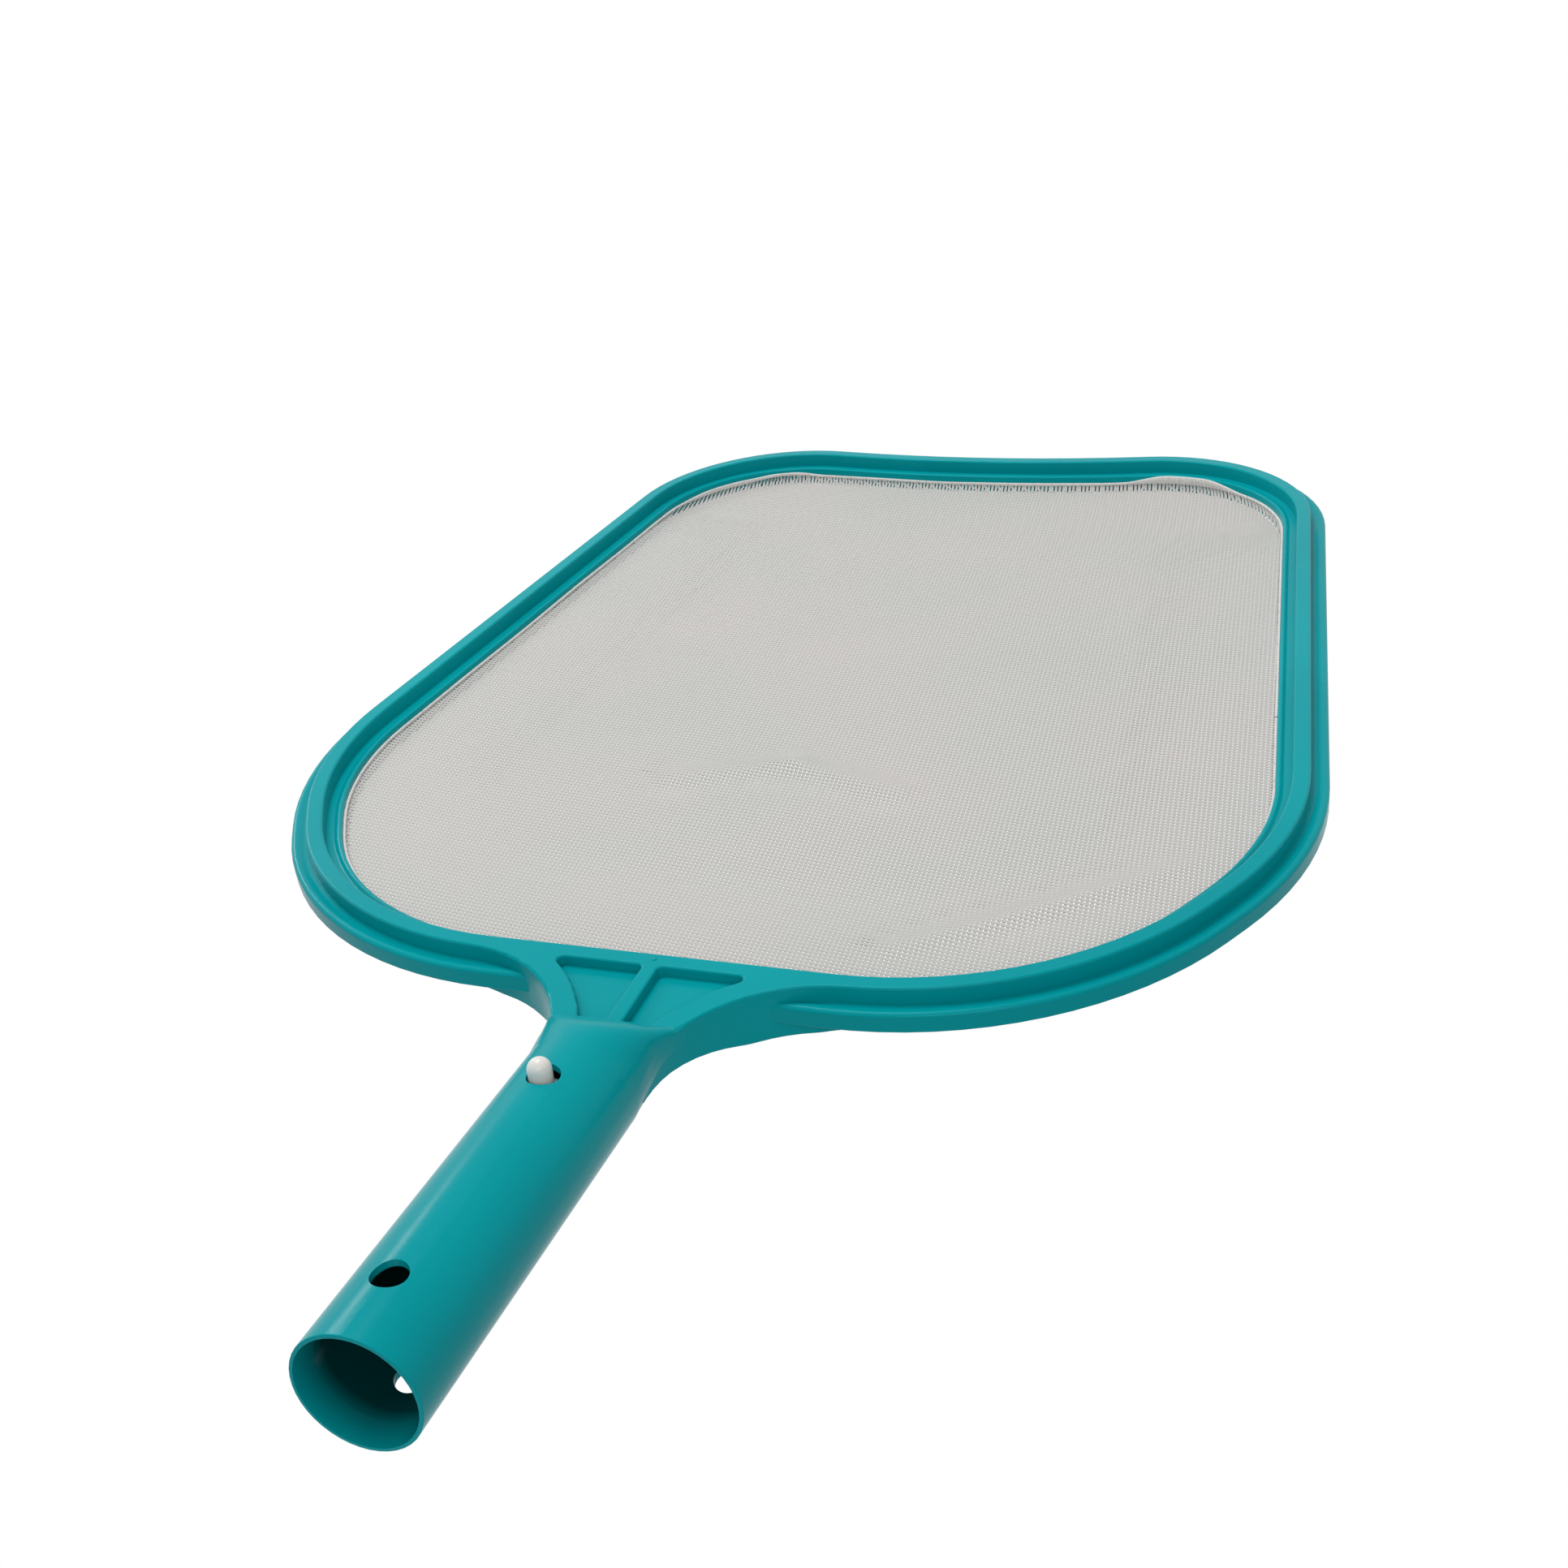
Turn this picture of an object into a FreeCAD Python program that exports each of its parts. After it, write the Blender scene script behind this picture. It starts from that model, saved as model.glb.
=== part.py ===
"""Leaf skimmer net: a moulded rim with a pole handle, a flat net and a sprung button clip.

Millimetres. The origin is the middle of the handle's mouth. +Y runs from the mouth to the front
of the net, +Z is the side that the leaves land on, and X is the width. The rim lies flat and the
handle tilts down a little towards it.
"""
import FreeCAD, Part
import math
import os
from FreeCAD import Rotation, Vector

doc = FreeCAD.newDocument("leaf_skimmer_net")

driving_sizes = {
    # handle tube
    "tube_radius": 14.5,
    "tube_wall": 1.8,
    "tube_length": 108.0,
    "tube_end_wall": 5.0,
    "tube_end_round": 7.0,
    "mouth_round": 0.3,
    "mouth_wall": 0.9,
    "mouth_taper": 6.0,
    "tube_tilt": 3.8,
    "hole_radius": 4.0,
    "outer_hole_station": 17.7,
    "inner_hole_station": 85.0,
    # outline of the rib's inner edge, one half of it: it starts this far past the tube's end
    "rim_top_drop": 2.3,
    "rim_start": 40.7,
    "back_half": 101.4,
    "widest_half": 148.5,
    "widest_from_back": 82.5,
    "front_half": 121.1,
    "front_from_back": 356.7,
    "front_dip": 15.9,
    "back_corner_radius": 93.9,
    "side_corner_radius": 102.6,
    "front_corner_radius": 55.2,
    "front_dip_radius": 470.0,
    # section of the rim
    "rib_width": 5.0,
    "rim_depth": 9.5,
    "core_width": 1.8,
    "core_roof": 2.2,
    "ledge_width": 4.6,
    "ledge_drop": 5.0,
    "ledge_thickness": 2.2,
    "bead_width": 2.2,
    "bead_rise": 0.6,
    "inner_wall": 1.8,
    "net_drop": 9.8,
    "shelf_width": 1.0,
    "shelf_thickness": 1.0,
    "lip_width": 5.2,
    "lip_drop": 4.1,
    "lip_thickness": 2.0,
    "groove_depth": 0.6,
    "groove_width": 1.6,
    "groove_slope": 1.8,
    "edge_round": 0.7,
    "small_round": 0.3,
    "bead_round": 1.0,
    "groove_round": 2.0,
    "lip_round": 1.2,
    # shoulder between the handle and the web, along the Y axis from the tube's end
    "shoulder_lead": 14.0,
    "shoulder_tail": 19.0,
    "shoulder_foot": 12.7,
    "shoulder_slope": 39.0,
    "shoulder_bend": 0.8,
    "shoulder_blend": 0.2,
    "shoulder_depth": 9.8,
    "shoulder_squareness": 16.0,
    "shoulder_inset": 0.05,
    "shoulder_wall_inset": 0.3,
    "shoulder_cover": 0.6,
    "shoulder_lift": 0.6,
    # web between the handle and the rim
    "flare_radius": 40.0,
    "flare_width": 6.8,
    "flare_inset": 1.0,
    "flare_start_depth": 9.9,
    "flare_depth": 14.4,
    "flare_end_depth": 13.1,
    "flare_low_start": 28.0,
    "flare_low_end": 44.0,
    "flare_start_round": 6.0,
    "flare_low_round": 12.0,
    "centre_rib_width": 4.3,
    "pocket_depth": 3.0,
    "pocket_corner": 1.6,
    "web_thickness": 2.4,
    "pip_radius": 1.1,
    "pip_rise": 0.4,
    # net
    "net_thickness": 0.6,
    "net_pitch": 19.0,
    "net_strand": 2.0,
    "net_border": 5.0,
    "net_clearance": 0.15,
    # button clip
    "clip_offset": 0.7,
    "button_radius": 2.85,
    "button_stand": 4.2,
    "flange_radius": 4.4,
    "flange_thickness": 1.2,
    "flange_clearance": 1.2,
    "stem_radius": 1.5,
    "stem_head_radius": 2.5,
    "stem_head_thickness": 0.8,
    "leaf_thickness": 0.6,
    "leaf_width": 7.0,
    "leaf_clearance": 0.05,
    "leaf_pad": 6.0,
    "leaf_corner": 2.8,
    "leaf_knee_radius": 8.0,
    "clip_apex_station": 38.0,
    "clip_bend_radius": 3.0,
    # how far a cutting shape reaches past the wall that it cuts
    "overrun": 3.0,
}

sheet = doc.addObject("Spreadsheet::Sheet", "Sizes")
for row, (alias, value) in enumerate(driving_sizes.items(), start=1):
    sheet.set(f"A{row}", alias)
    sheet.set(f"B{row}", str(value))
    sheet.setAlias(f"B{row}", alias)
doc.recompute()


def size(alias):
    return float(getattr(sheet, alias))


UP = Vector(0, 0, 1)
SAME_PLACE = 1e-6
# most of a straight side that the rounded corners at its two ends may take
SIDE_SHARE = 0.995
# where the shoulder's sections lie, as shares of its length, and the points that each passes through
SHOULDER_SHARES = [0, 0.2, 0.4, 0.55, 0.7, 0.85, 1]
SECTION_POINTS = 40

# heights and widths that several pieces share
rim_top = -size("rim_top_drop")
rim_foot = rim_top - size("rim_depth")
net_bed = rim_top - size("net_drop")
pocket_floor = rim_top - size("pocket_depth")
web_foot = pocket_floor - size("web_thickness")
bore_radius = size("tube_radius") - size("tube_wall")
bore_length = size("tube_length") - size("tube_end_wall")
rim_back = size("tube_length") + size("rim_start")
lip_edge = size("rib_width") + size("lip_width")
rib_skin = (size("rib_width") - size("core_width")) / 2


def rounded_edges(points, radii, closed=True):
    """Straight runs between the points, with a tangent arc at each point that has a radius.

    Two arcs that together need more than the side between them both get smaller.
    """
    last = len(points) - 1
    sides = [points[(i + 1) % len(points)] - corner for i, corner in enumerate(points)]
    half_angles = []
    reaches = []
    for i, radius in enumerate(radii):
        rounded = radius > 0 and (closed or 0 < i < last)
        half_angles.append((-sides[i - 1]).getAngle(sides[i]) / 2 if rounded else None)
        reaches.append(radius / math.tan(half_angles[i]) if rounded else 0)
    corners = []
    for i, corner in enumerate(points):
        if half_angles[i] is None:
            corners.append((corner, corner, None))
            continue
        next_reach = reaches[(i + 1) % len(points)]
        room_before = SIDE_SHARE * sides[i - 1].Length / (reaches[i - 1] + reaches[i])
        room_after = SIDE_SHARE * sides[i].Length / (reaches[i] + next_reach)
        reach = reaches[i] * min(1, room_before, room_after)
        radius = reach * math.tan(half_angles[i])
        before = -Vector(sides[i - 1]).normalize()
        after = Vector(sides[i]).normalize()
        inward = (before + after).normalize()
        middle = corner + inward * (radius / math.sin(half_angles[i]) - radius)
        corners.append((corner + before * reach, corner + after * reach, middle))
    edges = []
    for i, (enter, leave, middle) in enumerate(corners):
        if middle is not None:
            edges.append(Part.Arc(enter, middle, leave).toShape())
        if i < last or closed:
            next_enter = corners[(i + 1) % len(corners)][0]
            if leave.distanceToPoint(next_enter) > SAME_PLACE:
                edges.append(Part.LineSegment(leave, next_enter).toShape())
    return edges


def shifted(points, distance, closed=True):
    """The polygon moved to the right of its direction of travel by the distance."""
    moved = []
    last = len(points) - 1
    for i, corner in enumerate(points):
        arriving = corner - points[i - 1]
        leaving = points[(i + 1) % len(points)] - corner
        if not closed and i == 0:
            arriving = leaving
        if not closed and i == last:
            leaving = arriving
        side_in = arriving.cross(UP).normalize()
        side_out = leaving.cross(UP).normalize()
        moved.append(corner + (side_in + side_out) * (distance / (1 + side_in.dot(side_out))))
    return moved


def outline_corners():
    """Corners of the rib's inner edge, anticlockwise from the back left, and their radii."""
    widest = rim_back + size("widest_from_back")
    front = rim_back + size("front_from_back")
    right = [
        (Vector(size("back_half"), rim_back, 0), size("back_corner_radius")),
        (Vector(size("widest_half"), widest, 0), size("side_corner_radius")),
        (Vector(size("front_half"), front, 0), size("front_corner_radius")),
    ]
    dip = (Vector(0, front - size("front_dip"), 0), -size("front_dip_radius"))
    left = [(Vector(-p.x, p.y, 0), r) for p, r in reversed(right)]
    return right + [dip] + left


def outline(offset, height):
    """Closed wire at an outward offset from the rib's inner edge."""
    corners = outline_corners()
    points = shifted([point for point, radius in corners], offset)
    radii = [abs(radius + offset) for point, radius in corners]
    wire = Part.Wire(rounded_edges(points, radii))
    wire.translate(UP * height)
    return wire


def band(inner_offset, outer_offset, top, bottom):
    """Upright ring between two outlines."""
    face = Part.makeFace([outline(outer_offset, bottom), outline(inner_offset, bottom)],
                         "Part::FaceMakerBullseye")
    return face.extrude(UP * (top - bottom))


def swept_band(section, radii):
    """Ring with a rounded section, given as outward offsets and heights."""
    points = [Vector(0, rim_back - offset, height) for offset, height in section]
    profile = Part.Wire(rounded_edges(points, radii))
    spine = outline(0, 0)
    start_edge = spine.OrderedEdges[-1]
    middle = Vector(0, rim_back, 0)
    first = Part.LineSegment(middle, start_edge.lastVertex().Point).toShape()
    final = Part.LineSegment(start_edge.firstVertex().Point, middle).toShape()
    spine = Part.Wire([first] + spine.OrderedEdges[:-1] + [final])
    return spine.makePipeShell([profile], True, False)


def check(nodes):
    """Every object has recomputed and every node has one valid solid or more."""
    doc.recompute()
    for item in doc.Objects:
        if "Invalid" in item.State or "Error" in item.State:
            raise RuntimeError(f"{item.Label} failed: {item.State}")
    for node in nodes:
        if node.Shape.isNull() or not node.Shape.isValid():
            raise RuntimeError(f"{node.Label} has no valid shape")


def shape_feature(name, shape):
    feature = doc.addObject("Part::Feature", name)
    feature.Shape = shape
    return feature


def cylinder(name, radius, height, base=Vector(0, 0, 0), direction=UP):
    """Cylinder whose radius and height are expressions of the sheet."""
    feature = doc.addObject("Part::Cylinder", name)
    feature.setExpression("Radius", radius)
    feature.setExpression("Height", height)
    feature.Placement = FreeCAD.Placement(base, Rotation(UP, direction))
    return feature


def union(name, pieces):
    feature = doc.addObject("Part::MultiFuse", name)
    feature.Shapes = pieces
    return feature


def difference(name, base, tool):
    feature = doc.addObject("Part::Cut", name)
    feature.Base = base
    feature.Tool = tool
    return feature


# where the flares meet the rim: each flare's outer edge is an arc tangent to the rib's outer edge
back_line = rim_back - size("rib_width")
flare_x = size("tube_radius") - size("flare_inset") + size("flare_radius")
back_turn = math.atan2(size("widest_from_back"), size("widest_half") - size("back_half"))
back_arc_start = size("back_half") - size("back_corner_radius") * math.tan(back_turn / 2)
back_arc_centre = Vector(min(back_arc_start, flare_x), rim_back + size("back_corner_radius"), 0)
centre_distance = size("back_corner_radius") + size("rib_width") + size("flare_radius")
flare_y = back_arc_centre.y - math.sqrt(centre_distance**2 - (flare_x - back_arc_centre.x)**2)
flare_centre = Vector(flare_x, flare_y, 0)
to_rim = (back_arc_centre - flare_centre).normalize()
flare_meets_rim = flare_centre + to_rim * size("flare_radius")
flare_meets_tube = flare_centre - Vector(size("flare_radius"), 0, 0)


def mirrored(shape):
    return shape.mirror(Vector(0, 0, 0), Vector(1, 0, 0))


def web_plate():
    """Plate between the flares, from inside the tube to inside the rib."""
    halfway = (to_rim + Vector(-1, 0, 0)).normalize()
    arc_middle = flare_centre + halfway * size("flare_radius")
    in_rib = flare_meets_rim + to_rim * (size("rib_width") / 2)
    arc = Part.Arc(flare_meets_tube, arc_middle, flare_meets_rim).toShape()
    into_rib = Part.LineSegment(flare_meets_rim, in_rib).toShape()
    edges = [arc, into_rib]
    edges += [mirrored(edge) for edge in edges]
    edges.append(Part.LineSegment(in_rib, Vector(-in_rib.x, in_rib.y, 0)).toShape())
    across = Part.LineSegment(flare_meets_tube, Vector(-flare_meets_tube.x, flare_meets_tube.y, 0))
    edges.append(across.toShape())
    face = Part.Face(Part.Wire(Part.sortEdges(edges)[0]))
    plate = face.extrude(UP * (rim_top - web_foot))
    plate.translate(UP * web_foot)
    return plate


def pocket():
    """The right-hand recess: between the centre rib, the rim's rib and the flare."""
    outer = size("flare_radius") + size("flare_width")
    side = size("centre_rib_width") / 2
    near = (flare_y + size("tube_length") + size("shoulder_tail")) / 2
    far_x = flare_x - math.sqrt(outer**2 - (back_line - flare_y)**2)
    near_x = flare_x - math.sqrt(outer**2 - (near - flare_y)**2)
    far_corner = Vector(far_x, back_line, 0)
    near_corner = Vector(near_x, near, 0)
    middle_angle = (far_corner - flare_centre).normalize() + (near_corner - flare_centre).normalize()
    arc_middle = flare_centre + middle_angle.normalize() * outer
    edges = [
        Part.Arc(near_corner, arc_middle, far_corner).toShape(),
        Part.LineSegment(far_corner, Vector(side, back_line, 0)).toShape(),
        Part.LineSegment(Vector(side, back_line, 0), Vector(side, near, 0)).toShape(),
        Part.LineSegment(Vector(side, near, 0), near_corner).toShape(),
    ]
    recess = Part.Face(Part.Wire(edges)).extrude(UP * (size("pocket_depth") + size("overrun")))
    recess.translate(UP * pocket_floor)
    upright = [edge for edge in recess.Edges
               if edge.tangentAt(edge.FirstParameter).isParallel(UP, SAME_PLACE)]
    return recess.makeFillet(size("pocket_corner"), upright)


def rib_and_web():
    """The raised rib round the net, the flares and the centre rib, all with one flat top."""
    rib = band(0, size("rib_width"), rim_top, rim_foot)
    core = band(rib_skin, rib_skin + size("core_width"), rim_top - size("core_roof"), rim_foot)
    body = rib.fuse(web_plate()).removeSplitter()
    recess = pocket()
    body = body.cut([recess, mirrored(recess)])
    rounded = []
    for edge in body.Edges:
        ends = [vertex.Point for vertex in edge.Vertexes]
        on_top = all(abs(point.z - rim_top) < SAME_PLACE for point in ends)
        in_tube = all(abs(point.y - flare_y) < SAME_PLACE for point in ends)
        if on_top and not in_tube:
            rounded.append(edge)
    body = body.makeFillet(size("edge_round"), rounded)
    return body.cut(core)


def ledge_ring():
    """Ledge inside the rib with its bead, the wall below it and the narrow shelf for the net."""
    inner = -size("ledge_width")
    ledge_top = rim_top - size("ledge_drop")
    ledge_foot = ledge_top - size("ledge_thickness")
    shelf_foot = net_bed - size("shelf_thickness")
    root = rib_skin / 2
    bead_top = ledge_top + size("bead_rise")
    section = [
        (root, ledge_top),
        (inner + size("bead_width"), ledge_top),
        (inner + size("bead_width") / 2, bead_top),
        (inner, bead_top),
        (inner, net_bed),
        (inner - size("shelf_width"), net_bed),
        (inner - size("shelf_width"), shelf_foot),
        (inner + size("inner_wall"), shelf_foot),
        (inner + size("inner_wall"), ledge_foot),
        (root, ledge_foot),
    ]
    bead = size("bead_round")
    edge = size("edge_round")
    small = size("small_round")
    return swept_band(section, [0, bead, bead, edge, 0, small, small, small, edge, 0])


def lip_ring():
    """Lower lip round the outside of the rib: a grooved top and an outer skirt."""
    root = size("rib_width") - rib_skin / 2
    groove_end = size("rib_width") + size("groove_width")
    crest = rim_top - size("lip_drop")
    groove = crest - size("groove_depth")
    section = [
        (root, groove),
        (groove_end, groove),
        (groove_end + size("groove_slope"), crest),
        (lip_edge, crest),
        (lip_edge, rim_foot),
        (lip_edge - size("inner_wall"), rim_foot),
        (lip_edge - size("inner_wall"), crest - size("lip_thickness")),
        (root, groove - size("lip_thickness")),
    ]
    dip = size("groove_round")
    small = size("small_round")
    return swept_band(section, [0, dip, dip, size("lip_round"), small, small, size("edge_round"), 0])


def flare_skirt():
    """Wall under the right-hand flare, deepest halfway from the tube to the rim."""
    height = size("flare_depth")
    low = rim_top - height
    start = rim_top - size("flare_start_depth")
    outer = Part.makeCylinder(size("flare_radius") + size("flare_width"), height)
    hollow = Part.makeCylinder(size("flare_radius"), height)
    ring = outer.cut(hollow)
    ring.translate(flare_centre + UP * low)
    top = rim_top - size("edge_round") * 2
    outline_side = [
        Vector(0, 0, top),
        Vector(0, 0, start),
        Vector(size("tube_radius"), 0, start),
        Vector(size("flare_low_start"), 0, low),
        Vector(size("flare_low_end"), 0, low),
        Vector(flare_meets_rim.x, 0, rim_top - size("flare_end_depth")),
        Vector(flare_meets_rim.x, 0, top),
    ]
    start_round = size("flare_start_round")
    low_round = size("flare_low_round")
    edges = rounded_edges(outline_side, [0, 0, start_round, low_round, low_round, 0, 0])
    side = Part.Face(Part.Wire(edges)).extrude(Vector(0, rim_back - flare_y, 0))
    side.translate(Vector(0, flare_y, 0))
    return ring.common(side)


def blend_section(station, half, middle, top, bottom, squareness):
    """Closed curve across the handle: squared above its middle and a half oval below."""
    points = []
    for i in range(SECTION_POINTS):
        angle = 2 * math.pi * (i + 0.5) / SECTION_POINTS
        upper = math.sin(angle) > 0
        power = 2 / squareness if upper else 1
        across = math.copysign(abs(math.cos(angle)) ** power, math.cos(angle))
        rise = math.copysign(abs(math.sin(angle)) ** power, math.sin(angle))
        reach = top - middle if upper else middle - bottom
        points.append(Vector(half * across, station, middle + reach * rise))
    curve = Part.BSplineCurve()
    curve.interpolate(points, PeriodicFlag=True)
    return Part.Wire(curve.toShape())


def shoulder():
    """Blend from the round handle to the web: it widens with the flares, squares up and slopes down.

    Its sides stand a little proud of the flares halfway along, which covers the flares' corners
    there, and end inside them.
    """
    start = size("tube_length") - size("shoulder_lead")
    run = size("shoulder_lead") + size("shoulder_tail")
    foot = size("tube_length") + size("shoulder_foot")
    tube_slope = math.tan(math.radians(size("tube_tilt")))
    fall = math.tan(math.radians(size("shoulder_slope")))
    radius = size("tube_radius") - size("shoulder_inset")
    upright = radius / math.cos(math.radians(size("tube_tilt")))
    base = rim_top - size("shoulder_depth")
    wires = []
    for share in SHOULDER_SHARES:
        station = start + run * share
        axis = -station * tube_slope
        along_tube = axis + upright
        down_slope = rim_top + (foot - station) * fall
        halfway = (along_tube + down_slope) / 2
        top = halfway - math.hypot((down_slope - along_tube) / 2, size("shoulder_bend"))
        middle = axis + (top - axis) * size("shoulder_lift") * share**2
        bottom = axis - upright
        bottom += (base - bottom) * share**3
        along_flare = max(station - flare_y, 0)
        flare_wall = flare_x - math.sqrt(size("flare_radius")**2 - along_flare**2)
        bulge = 4 * share * (1 - share)
        wall = flare_wall + size("shoulder_cover") * bulge - size("shoulder_wall_inset")
        wider = (wall - radius) / 2
        half = radius + wider + math.hypot(wider, size("shoulder_blend"))
        squareness = 2 + (size("shoulder_squareness") - 2) * share**4
        wires.append(blend_section(station, half, middle, top, bottom, squareness))
    return Part.makeLoft(wires, True)


# handle tube, along the tilted handle axis
tilt = Rotation(Vector(1, 0, 0), -size("tube_tilt"))
handle_axis = tilt.multVec(Vector(0, 1, 0))
handle_up = tilt.multVec(UP)


def turned(section, radii):
    """Solid of revolution about the handle's axis, from stations and radii."""
    points = [Vector(0, station, radius) for station, radius in section]
    profile = Part.Face(Part.Wire(rounded_edges(points, radii)))
    solid = profile.revolve(Vector(0, 0, 0), Vector(0, 1, 0), 360)
    solid.rotate(Vector(0, 0, 0), Vector(1, 0, 0), -size("tube_tilt"))
    return solid


tube_body = shape_feature("handle_tube", turned(
    [(0, 0), (0, size("tube_radius")), (size("tube_length"), size("tube_radius")), (size("tube_length"), 0)],
    [0, size("mouth_round"), size("tube_end_round"), 0]))
mouth_radius = size("tube_radius") - size("mouth_wall")
bore = shape_feature("handle_bore", turned(
    [(-size("overrun"), 0), (-size("overrun"), mouth_radius), (0, mouth_radius),
     (size("mouth_taper"), bore_radius), (bore_length, bore_radius), (bore_length, 0)],
    [0, 0, 0, 0, size("tube_end_round") - size("tube_wall"), 0]))
holes = []
for label, station in (("outer", "outer_hole_station"), ("inner", "inner_hole_station")):
    start = handle_axis * size(station) - handle_up * (size("tube_radius") + size("overrun"))
    holes.append(cylinder(f"{label}_cross_hole", "Sizes.hole_radius",
                          "2 * (Sizes.tube_radius + Sizes.overrun)", start, handle_up))

right_skirt = flare_skirt()
pip_base = Vector(0, back_line + size("rib_width") / 2, rim_top)
pip = Part.makeSphere(size("pip_radius"), pip_base + UP * (size("pip_rise") - size("pip_radius")))
mouldings = union("frame_mouldings", [
    shape_feature("rib_and_web", rib_and_web()),
    shape_feature("ledge_ring", ledge_ring()),
    shape_feature("lip_ring", lip_ring()),
    shape_feature("right_skirt", right_skirt),
    shape_feature("left_skirt", mirrored(right_skirt)),
    shape_feature("gate_pip", pip),
    shape_feature("shoulder", shoulder()),
    tube_body,
])
frame = difference("skimmer_frame", mouldings, union("frame_openings", [bore] + holes))


def net_gaps():
    """Square gaps of the net, cut off by its solid border."""
    border = Part.Face(outline(-size("ledge_width") - size("net_clearance") - size("net_border"), net_bed))
    room = border.BoundBox
    pitch = size("net_pitch")
    strand = size("net_strand")
    gap = pitch - strand
    columns = math.ceil(room.XLength / pitch / 2)
    rows = math.ceil(room.YLength / pitch)
    first_y = (room.YMin + room.YMax - rows * pitch + strand) / 2
    cells = []
    for column in range(-columns, columns):
        for row in range(rows):
            corner = Vector(column * pitch + strand / 2, first_y + row * pitch, net_bed)
            cells.append(Part.makePlane(gap, gap, corner))
    clipped = border.common(Part.makeCompound(cells))
    smallest = strand * gap
    return [face for face in clipped.Faces if face.Area > smallest]


net_edge = outline(-size("ledge_width") - size("net_clearance"), net_bed)
gaps = net_gaps()
print("net gaps", len(gaps))
net_face = shape_feature("net_face", Part.makeFace([net_edge] + [gap.OuterWire for gap in gaps],
                                                   "Part::FaceMakerBullseye"))
net = doc.addObject("Part::Extrusion", "net_panel")
net.Base = net_face
net.DirMode = "Custom"
net.Dir = UP
net.setExpression("LengthFwd", "Sizes.net_thickness")
net.Solid = True

# button clip: stations run along the handle's axis, heights away from it
flange_top = (math.sqrt(bore_radius**2 - (size("flange_radius") + size("clip_offset"))**2)
              - size("flange_clearance"))
flange_foot = flange_top - size("flange_thickness")
leaf_height = flange_foot - size("leaf_clearance") - size("leaf_thickness") / 2
stem_head_top = leaf_height - size("leaf_thickness") / 2 - size("leaf_clearance")
stem_head_foot = stem_head_top - size("stem_head_thickness")
clip_centre = Vector(-size("clip_offset"), 0, 0)


def clip_leaf():
    """Bent strip: a flat pad behind each button and two legs that meet in a rounded bend."""
    pad_end = size("inner_hole_station") + size("leaf_pad")
    knee = size("inner_hole_station") - size("leaf_pad")
    middle = [
        Vector(pad_end, leaf_height, 0),
        Vector(knee, leaf_height, 0),
        Vector(size("clip_apex_station"), 0, 0),
        Vector(knee, -leaf_height, 0),
        Vector(pad_end, -leaf_height, 0),
    ]
    bends = [0, size("leaf_knee_radius"), size("clip_bend_radius"), size("leaf_knee_radius"), 0]
    half = size("leaf_thickness") / 2
    outer = shifted(middle, half, closed=False)
    inner = shifted(middle, -half, closed=False)
    outer_bends = [bend + half if bend else 0 for bend in bends]
    inner_bends = [bend - half if bend else 0 for bend in bends]
    edges = rounded_edges(outer + inner[::-1], outer_bends + inner_bends[::-1])
    width = size("leaf_width")
    strip = Part.Face(Part.Wire(edges)).extrude(UP * width)
    ends = [edge for edge in strip.Edges
            if edge.CenterOfMass.x > pad_end - SAME_PLACE
            and abs(edge.Length - size("leaf_thickness")) < SAME_PLACE]
    strip = strip.makeFillet(min(size("leaf_corner"), SIDE_SHARE * width / 2), ends)
    strip.translate(Vector(0, 0, -width / 2))
    # stations go on to the handle's axis, heights upright and the width across
    strip.rotate(Vector(0, 0, 0), Vector(1, 1, 1), 120)
    strip.translate(clip_centre)
    strip.rotate(Vector(0, 0, 0), Vector(1, 0, 0), -size("tube_tilt"))
    return strip


def at_button(side, height):
    """Point on a button's own axis: side is 1 for the upper one and -1 for the lower one."""
    return clip_centre + handle_axis * size("inner_hole_station") + handle_up * side * height


def button(name, side):
    """Domed button with a flange inside the tube and a stem headed over behind the leaf."""
    outward = handle_up * side
    dome = doc.addObject("Part::Sphere", f"{name}_dome")
    dome.setExpression("Radius", "Sizes.button_radius")
    dome_height = size("tube_radius") + size("button_stand") - size("button_radius")
    dome.Placement = FreeCAD.Placement(at_button(side, dome_height), Rotation(UP, outward))
    inside = ("(sqrt((Sizes.tube_radius - Sizes.tube_wall)^2 - (Sizes.flange_radius + Sizes.clip_offset)^2)"
              " - Sizes.flange_clearance - Sizes.flange_thickness)")
    shaft = cylinder(f"{name}_shaft", "Sizes.button_radius",
                     f"Sizes.tube_radius + Sizes.button_stand - Sizes.button_radius - {inside}",
                     at_button(side, flange_foot), outward)
    flange = cylinder(f"{name}_flange", "Sizes.flange_radius", "Sizes.flange_thickness",
                      at_button(side, flange_foot), outward)
    stem = cylinder(f"{name}_stem", "Sizes.stem_radius",
                    "Sizes.stem_head_thickness + Sizes.leaf_thickness + 2 * Sizes.leaf_clearance"
                    " + Sizes.flange_thickness / 2",
                    at_button(side, stem_head_foot), outward)
    head = cylinder(f"{name}_stem_head", "Sizes.stem_head_radius", "Sizes.stem_head_thickness",
                    at_button(side, stem_head_foot), outward)
    return union(name, [dome, shaft, flange, stem, head])


stem_hole = cylinder("stem_hole", "Sizes.stem_radius + Sizes.leaf_clearance", "Sizes.tube_radius * 2",
                     at_button(-1, size("tube_radius")), handle_up)
clip = difference("clip_spring", shape_feature("clip_leaf", clip_leaf()), stem_hole)
buttons = [button("upper_button", 1), button("lower_button", -1)]

os.makedirs("parts", exist_ok=True)
nodes = [frame, net, clip] + buttons
check(nodes)
for node in nodes:
    node.Shape.exportStep(f"parts/{node.Label}.step")
    print(node.Label, "solids", len(node.Shape.Solids), "volume", round(node.Shape.Volume))
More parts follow.
